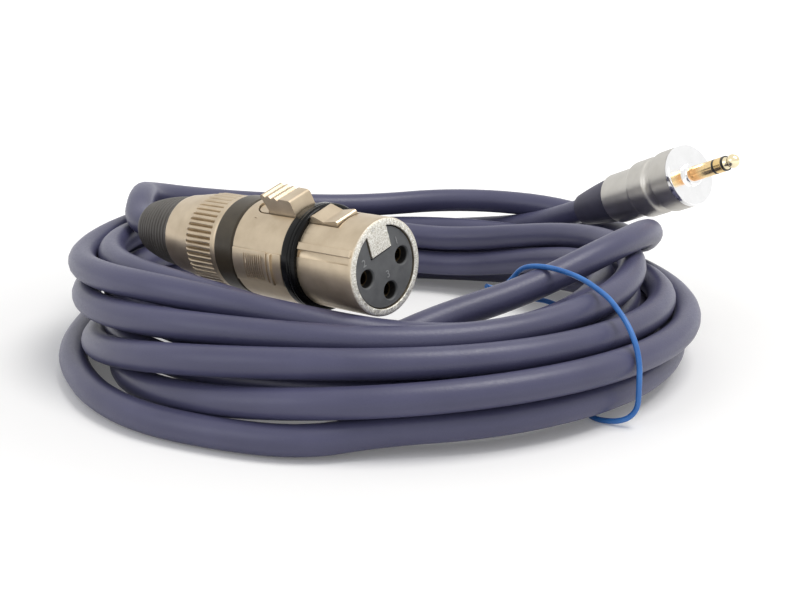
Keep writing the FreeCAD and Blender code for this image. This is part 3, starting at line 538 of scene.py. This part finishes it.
# The body is a nickel plated tube pushed over the shell. It has a round-ended window for
# the latch, and at its side a low raised field with fine cut lines and two short bars.
BODY_R = 10.1
FIELD_SIDE = 82
CUT_LINES = 9
LINE_PITCH = 0.62
WINDOW_END = -27.4
body = turn_on_lathe("body_tube", [
    (9.02, -18.12), (9.95, -18.12), (BODY_R, -18.27), (BODY_R, -32.1), (9.95, -32.38),
    (9.02, -32.38), (9.02, -18.12)], ROUND_STEPS)
field = box_at(9.3, 11, -3.4, 3.4, -32.2, -18.3)
work(field, "INTERSECT", rod_at(BODY_R + 0.2, -33, -18, ROUND_STEPS))
ease_edges(field, 0.1)
for k in range(CUT_LINES):
    back = -28.8 + k * LINE_PITCH
    work(field, "DIFFERENCE", box_at(9.9, 11, -2.9, 2.6, back, back + 0.22))
bar = box_at(9.3, 11, -3.3, 3.2, -21.7, -20.9)
second_bar = box_at(9.3, 11, -3.4, 2.8, -22.8, -22.2)
for part, radius in ((bar, BODY_R + 0.62), (second_bar, BODY_R + 0.48)):
    work(part, "INTERSECT", rod_at(radius, -33, -18, ROUND_STEPS))
    ease_edges(part, 0.2, 3)
for part in (field, bar, second_bar):
    turn_round(part, FIELD_SIDE)
work(body, "UNION", field, bar, second_bar)
window = rod_at(LATCH_SLOT, 7.2, 14)
window.data.transform(Matrix.Translation((0, 0, WINDOW_END))
                      @ Matrix.Rotation(math.radians(90), 4, "Y"))
work(body, "DIFFERENCE", box_at(7.2, 14, -LATCH_SLOT, LATCH_SLOT, WINDOW_END, -17), window)
ease_edges(body, 0.08, 2, 40)
fit_in_place(body, connector, "root", "nickel", nickel, "rear_body")
dress(nickel, "latch_pin")


# The latch is one cast lever, plated like the shell. Its ridged pad stands up through the
# window, its hook reaches forward under the ring, and it rocks on a pin at its back end.
LEVER_HALF = 2.8
PIN_HOLE_R = 0.65
PIN_X, PIN_Z = 8.7, -28.4
lever = cut_from_bar("release_latch", [
    (8.45, -7.1), (9.35, -7.05), (9.75, -7.15), (10.0, -7.4), (10.02, -7.75), (9.5, -10.7),
    (9.52, -10.95), (10.38, -13.3), (10.46, -13.75), (10.38, -14.05), (9.6, -14.3),
    (9.45, -14.6), (9.45, -18.2), (9.9, -18.25), (10.4, -18.35), (12.35, -18.75),
    (12.75, -18.95), (12.98, -19.35), (13.05, -20.6), (13.08, -21.8), (12.98, -22.1),
    (12.72, -22.3), (12.74, -22.75), (13.2, -23.1), (13.24, -23.6), (12.94, -23.95),
    (12.96, -24.4), (13.4, -24.75), (13.44, -25.25), (13.14, -25.6), (13.16, -26.05),
    (13.56, -26.35), (13.6, -26.85), (13.38, -27.2), (12.9, -27.2), (11.3, -26.2),
    (10.3, -25.85), (9.85, -26.0), (9.7, -26.4), (9.7, -30.2), (7.6, -29.6), (7.6, -27.2),
    (8.45, -26.0)], LEVER_HALF)
outline = rod_at(LEVER_HALF, 0, 11.0)
outline.data.transform(Matrix.Translation((0, 0, WINDOW_END))
                       @ Matrix.Rotation(math.radians(90), 4, "Y"))
work(outline, "UNION", box_at(0, 11.0, -LEVER_HALF, LEVER_HALF, WINDOW_END, 0),
     box_at(10.95, 16, -LEVER_HALF - 0.01, LEVER_HALF + 0.01, -32, 0))
work(lever, "INTERSECT", outline)
hole = rod_at(PIN_HOLE_R, -3, 3, 32)
hole.data.transform(Matrix.Translation((PIN_X, 0, PIN_Z))
                    @ Matrix.Rotation(math.radians(90), 4, "X"))
work(lever, "DIFFERENCE", hole)
ease_edges(lever, 0.13, 2, 24)
fit_in_place(lever, connector, "latch", "nickel", nickel, "latch_lever")


# Behind the body comes a smooth band of moulded black plastic. Its dark olive tone is a
# painted reflection of the bright surroundings. It fills the gap between the body and the
# nut, which screws on behind it.
band = turn_on_lathe("band_painted_olive", [
    (8.28, -32.45), (9.65, -32.45), (9.65, -33.0), (9.98, -33.15), (10.0, -33.4),
    (10.0, -37.7), (9.85, -38.15), (8.28, -38.2), (8.28, -32.45)], ROUND_STEPS)
ease_edges(band, 0.06, 2)
# Dark olive on black plastic: a painted reflection
band_painted_olive, _, shader, *_ = new_finish(
    "black plastic with painted olive reflection", (0.050, 0.040, 0.026), (0.072, 0.058, 0.038), 300, 4500,
    (0.30, 0.42), 0.00001)
shader.inputs["Specular IOR Level"].default_value = 0.30
fit_in_place(band, connector, "root", "black_band", band_painted_olive, "rear_band")


# The nut is turned and nickel plated. It has a plain bright rim, a band of rounded
# lengthwise flutes for the fingers, and a shoulder that falls in to the boot.
FLUTES = 48
COLUMNS_A_FLUTE = 6
FLUTE_FRONT, FLUTE_BACK = -40.0, -47.6
nut = turn_on_lathe("fluted_nut", [
    (7.7, -31.4), (8.2, -31.4), (8.2, -38.3), (8.9, -38.3), (9.3, -38.42), (9.54, -38.7),
    (9.6, -39.1), (9.6, -39.75), (9.58, -39.9), (9.58, -40.15), (9.56, -47.0), (9.5, -47.5),
    (9.32, -47.75), (9.2, -47.9), (9.14, -49.0), (9.0, -50.2), (8.78, -51.6), (8.55, -53.0),
    (8.36, -54.4), (8.22, -55.6), (8.1, -56.05), (7.85, -56.3), (6.28, -56.3), (6.28, -54.9),
    (7.08, -54.9), (7.08, -51.7), (7.7, -50.7), (7.7, -31.4)], FLUTES * COLUMNS_A_FLUTE)
deselect()
nut.select_set(True)
bpy.context.view_layer.objects.active = nut
bpy.ops.object.mode_set(mode="EDIT")
bpy.ops.mesh.select_mode(type="VERT")
# The middle column of each flute goes in first, and then all three a little
for columns, amount in (((0,), 0.942), ((0, 1, 5), 0.984)):
    bpy.ops.mesh.select_all(action="DESELECT")
    bpy.ops.object.mode_set(mode="OBJECT")
    for vertex in nut.data.vertices:
        x, y, z = vertex.co
        column = round(math.atan2(y, x) / (2 * math.pi) * FLUTES * COLUMNS_A_FLUTE)
        vertex.select = (math.hypot(x, y) > 8.4 and FLUTE_BACK < z < FLUTE_FRONT
                         and column % COLUMNS_A_FLUTE in columns)
    bpy.ops.object.mode_set(mode="EDIT")
    bpy.ops.transform.resize(value=(amount, amount, 1), center_override=(0, 0, 0))
bpy.ops.object.mode_set(mode="OBJECT")
fit_in_place(nut, connector, "nut", "nickel", nickel, "knurled_nut")


# The boot is soft dark rubber, a cone with fine rings that lets the cable bend. Its mouth
# is open a little wider than the cable, and it slides back over it with the nut.
BOOT_R = 7.72
RING_COUNT = 11
RING_PITCH = 1.1
rings = []
for k in range(RING_COUNT):
    z = -56.45 - k * RING_PITCH
    r = BOOT_R - 0.035 * k - 0.0155 * k * k
    rings += [(r - 0.22, z), (r, z - 0.16), (r - 0.03, z - 0.70), (r - 0.25, z - 0.86),
              (r - 0.28, z - 1.02)]
boot = turn_on_lathe("cable_boot", [
    (3.3, -52.95), (7.0, -52.95), (7.0, -54.85), (6.2, -54.85), (6.2, -56.35), (7.4, -56.38),
    *rings, (5.45, -68.75), (5.2, -69.2), (4.8, -69.4), (3.85, -69.4), (3.75, -66.5),
    (3.3, -62.0), (3.3, -52.95)], 96)
boot_rubber = new_finish("warm grey rubber", (0.075, 0.068, 0.060), (0.108, 0.100, 0.090),
                         200, 3500, (0.46, 0.62), 0.00003)[0]
fit_in_place(boot, connector, "boot_slide", "boot_rubber", boot_rubber, "boot")


# Inside the boots the jacket is stripped, and the cable's two cores, red and white, and
# its bare copper drain go on to the solder cups.
core_red = new_finish("red core", (0.42, 0.030, 0.022), (0.52, 0.045, 0.030), 300, 4000,
                      (0.35, 0.5), 0.00001)[0]
core_white = new_finish("white core", (0.66, 0.66, 0.62), (0.76, 0.76, 0.73), 300, 4000,
                        (0.35, 0.5), 0.00001)[0]
bare_copper = new_finish("bare copper", (0.55, 0.26, 0.15), (0.72, 0.40, 0.25), 500, 4000,
                         (0.28, 0.42), 0.00001, 1.0)[0]
dress(core_red, "core_red", "jack_core_red")
dress(core_white, "core_white", "jack_core_white")
dress(bare_copper, "drain_wire")


# The plug's barrel is turned brass with a satin chrome plate, in two bands with a waist
# between them, and screws on to a polished collar. Both are modelled from the middle of
# the collar's face, pointing up.
PLUG_AXIS = Vector((0.575, -0.725, 0.378)).normalized()
BARREL_L = 0.0245
BARREL_R = 7.3
plug = lay_along(in_metres([(57.4, 34.5, 25.6)])[0] + PLUG_AXIS * BARREL_L, PLUG_AXIS, 0)
barrel = turn_on_lathe("plug_barrel", [
    (4.68, -1.3), (7.28, -1.3), (BARREL_R, -1.5), (BARREL_R, -6.2), (7.2, -6.7),
    (6.9, -7.05), (6.5, -7.25), (6.32, -7.6), (6.3, -8.4), (6.35, -9.0), (6.6, -9.35),
    (6.8, -9.6), (6.9, -10.0), (6.9, -14.2), (6.78, -14.7), (6.5, -15.05), (6.2, -15.3),
    (6.1, -15.7), (6.1, -23.8), (5.95, -24.25), (5.6, -24.5), (4.58, -24.5), (4.58, -23.3),
    (5.3, -23.3), (5.3, -6.2), (4.68, -6.2), (4.68, -1.3)])
chrome = new_finish("satin chrome", (0.52, 0.50, 0.46), (0.60, 0.58, 0.54), 300, 5000,
                    (0.34, 0.44), 0.000003, 1.0)[0]
fit_in_place(barrel, plug, "barrel", "chrome", chrome, "jack_barrel")
collar = turn_on_lathe("plug_collar", [
    (1.6, 1.0), (2.45, 1.0), (2.62, 0.92), (2.7, 0.75), (2.7, 0.12), (2.85, 0), (6.9, 0),
    (7.15, -0.08), (7.28, -0.3), (BARREL_R, -0.5), (BARREL_R, -1.2), (4.6, -1.2),
    (4.6, -6.2), (1.6, -6.2), (1.6, 1.0)])
polished = new_finish("polished chrome", (0.88, 0.88, 0.88), (0.95, 0.95, 0.95), 300, 5000,
                      (0.10, 0.18), 0.000002, 1.0)[0]
fit_in_place(collar, plug, "root", "chrome", polished, "jack_collar")


# The plug itself is stacked from turned brass pieces, gold plated, with black rings of
# nylon between them. The tip is necked behind its round nose.
PLUG_R = 1.75
sleeve = turn_on_lathe("plug_sleeve", [
    (1.4, 1.02), (1.66, 1.02), (PLUG_R, 1.12), (PLUG_R, 7.5), (1.68, 7.6), (1.4, 7.6),
    (1.4, -5.0), (1.6, -5.0), (1.6, 1.02), (1.4, 1.02)], 64)
copper_gold, tree, shader, shades, *_ = new_finish(
    "copper gold plate", (0.66, 0.33, 0.12), (0.82, 0.48, 0.21), 500, 5000, (0.16, 0.28),
    0.000004, 1.0)
# The plating is copper red next to the collar and paler further out
outward = along_axis(tree, plug, PLUG_AXIS, 2.6, 4.6)
paler = new_mix(tree, b=(0.84, 0.63, 0.33))
join(tree,
     (outward, paler.inputs["Factor"]), (shades.outputs["Color"], paler.inputs["A"]),
     (paler.outputs["Result"], shader.inputs["Base Color"]))
fit_in_place(sleeve, plug, "root", "copper_gold", copper_gold, "jack_sleeve")
gold = new_finish("gold plate", (0.74, 0.50, 0.20), (0.90, 0.68, 0.34), 400, 5000,
                  (0.16, 0.30), 0.000005, 1.0)[0]
ring_contact = turn_on_lathe("plug_ring", [
    (1.4, 8.2), (1.7, 8.2), (PLUG_R, 8.26), (PLUG_R, 10.24), (1.7, 10.3), (1.4, 10.3),
    (1.4, 8.2)], 64)
fit_in_place(ring_contact, plug, "root", "gold", gold, "jack_ring")
tip = turn_on_lathe("plug_tip", [
    (0, -9.0), (0.6, -9.0), (0.6, 10.9), (1.5, 10.9), (1.42, 11.05), (1.2, 11.45),
    (1.15, 11.7), (1.22, 12.0), (1.5, 12.35), (1.62, 12.6), (1.6, 12.95), (1.42, 13.4),
    (1.1, 13.85), (0.72, 14.15), (0.35, 14.34), (0, 14.4), (0, -9.0)], 64)
pale_gold = new_finish("pale gold plate", (0.84, 0.70, 0.42), (0.93, 0.84, 0.60), 500, 5000,
                       (0.12, 0.24), 0.000004, 1.0)[0]
fit_in_place(tip, plug, "root", "gold", pale_gold, "jack_tip")
black_nylon = new_finish("black nylon", (0.012, 0.012, 0.012), (0.030, 0.029, 0.027), 500, 5000,
                         (0.3, 0.45), 0.00001)[0]
dress(black_nylon, "jack_bands")


# The plug's boot is soft slate rubber. It flares into the barrel's end and tapers to the
# cable, and slides back with the barrel.
plug_boot = turn_on_lathe("plug_boot", [
    (3.3, -21.8), (5.22, -21.8), (5.22, -23.25), (4.5, -23.25), (4.5, -24.55), (5.3, -24.55),
    (5.46, -24.75), (5.5, -25.1), (5.35, -27.0), (5.05, -29.5), (4.65, -32.2), (4.25, -34.6),
    (3.95, -36.2), (3.75, -36.45), (3.3, -36.5), (3.3, -21.8)], 96)
slate_rubber = new_finish("slate rubber", (0.050, 0.048, 0.075), (0.075, 0.072, 0.110),
                          200, 3500, (0.46, 0.6), 0.00003)[0]
fit_in_place(plug_boot, plug, "jack_boot_slide", "jack_boot_rubber", slate_rubber, "jack_boot")


# The coil lies on white paper, in the light of a small photo tent: soft lamps above and at
# the left, and a pale surround.
deselect()
bpy.ops.mesh.primitive_grid_add(x_subdivisions=8, y_subdivisions=8, size=8)
floor = bpy.context.object
floor.name = "floor"
paper = bpy.data.materials.new("white paper")
paper.use_nodes = True
tree = paper.node_tree
shader = tree.nodes["Principled BSDF"]
shader.inputs["Base Color"].default_value = (0.93, 0.93, 0.93, 1)
shader.inputs["Roughness"].default_value = 0.9
shader.inputs["Specular IOR Level"].default_value = 0.1
shader.inputs["Emission Color"].default_value = (1, 1, 1, 1)


def seen_or_mirrored(tree):
    """Mask of what the camera sees, directly, in a mirror or through glass."""
    path = tree.nodes.new("ShaderNodeLightPath")
    seen = tree.nodes.new("ShaderNodeMath")
    seen.operation = "MAXIMUM"
    mirrored = tree.nodes.new("ShaderNodeMath")
    mirrored.operation = "MAXIMUM"
    join(tree,
         (path.outputs["Is Camera Ray"], seen.inputs[0]),
         (path.outputs["Is Glossy Ray"], seen.inputs[1]),
         (seen.outputs[0], mirrored.inputs[0]),
         (path.outputs["Is Transmission Ray"], mirrored.inputs[1]))
    return mirrored.outputs[0]


# Seen by the camera or in a mirror the paper is white, more so away from the coil
spot = tree.nodes.new("ShaderNodeTexCoord")
away = tree.nodes.new("ShaderNodeVectorMath")
away.operation = "LENGTH"
lift = tree.nodes.new("ShaderNodeMapRange")
lift.inputs["From Min"].default_value = 0.09
lift.inputs["From Max"].default_value = 0.5
lift.inputs["To Min"].default_value = 0.10
lift.inputs["To Max"].default_value = 1.0
shown = tree.nodes.new("ShaderNodeMath")
shown.operation = "MULTIPLY"
join(tree,
     (spot.outputs["Object"], away.inputs[0]), (away.outputs["Value"], lift.inputs["Value"]),
     (seen_or_mirrored(tree), shown.inputs[0]), (lift.outputs["Result"], shown.inputs[1]),
     (shown.outputs[0], shader.inputs["Emission Strength"]))
floor.data.materials.append(paper)


def soft_lamp(name, place, size, power, colour):
    """Round soft lamp that points at the coil."""
    lamp = bpy.data.lights.new(name, "AREA")
    lamp.shape = "DISK"
    lamp.size = size
    lamp.energy = power
    lamp.color = colour
    holder = bpy.data.objects.new(name, lamp)
    holder.location = place
    aim = Vector((0, 0, 0.01)) - Vector(place)
    holder.rotation_euler = aim.to_track_quat("-Z", "Y").to_euler()
    bpy.context.scene.collection.objects.link(holder)


soft_lamp("key", (0.30, -0.10, 0.75), 0.45, 3.4, (1.0, 0.985, 0.96))
soft_lamp("left fill", (-0.7, -0.5, 0.45), 0.6, 1.1, (0.94, 0.96, 1.0))
world = bpy.data.worlds.new("studio")
world.use_nodes = True
bpy.context.scene.world = world
tree = world.node_tree
surround = tree.nodes["Background"]
strength = tree.nodes.new("ShaderNodeMapRange")
strength.inputs["To Min"].default_value = 0.52
strength.inputs["To Max"].default_value = 1.0
join(tree,
     (seen_or_mirrored(tree), strength.inputs["Value"]),
     (strength.outputs["Result"], surround.inputs["Strength"]))
surround.inputs["Color"].default_value = (1, 1, 1, 1)
bpy.context.scene.view_settings.view_transform = "Standard"
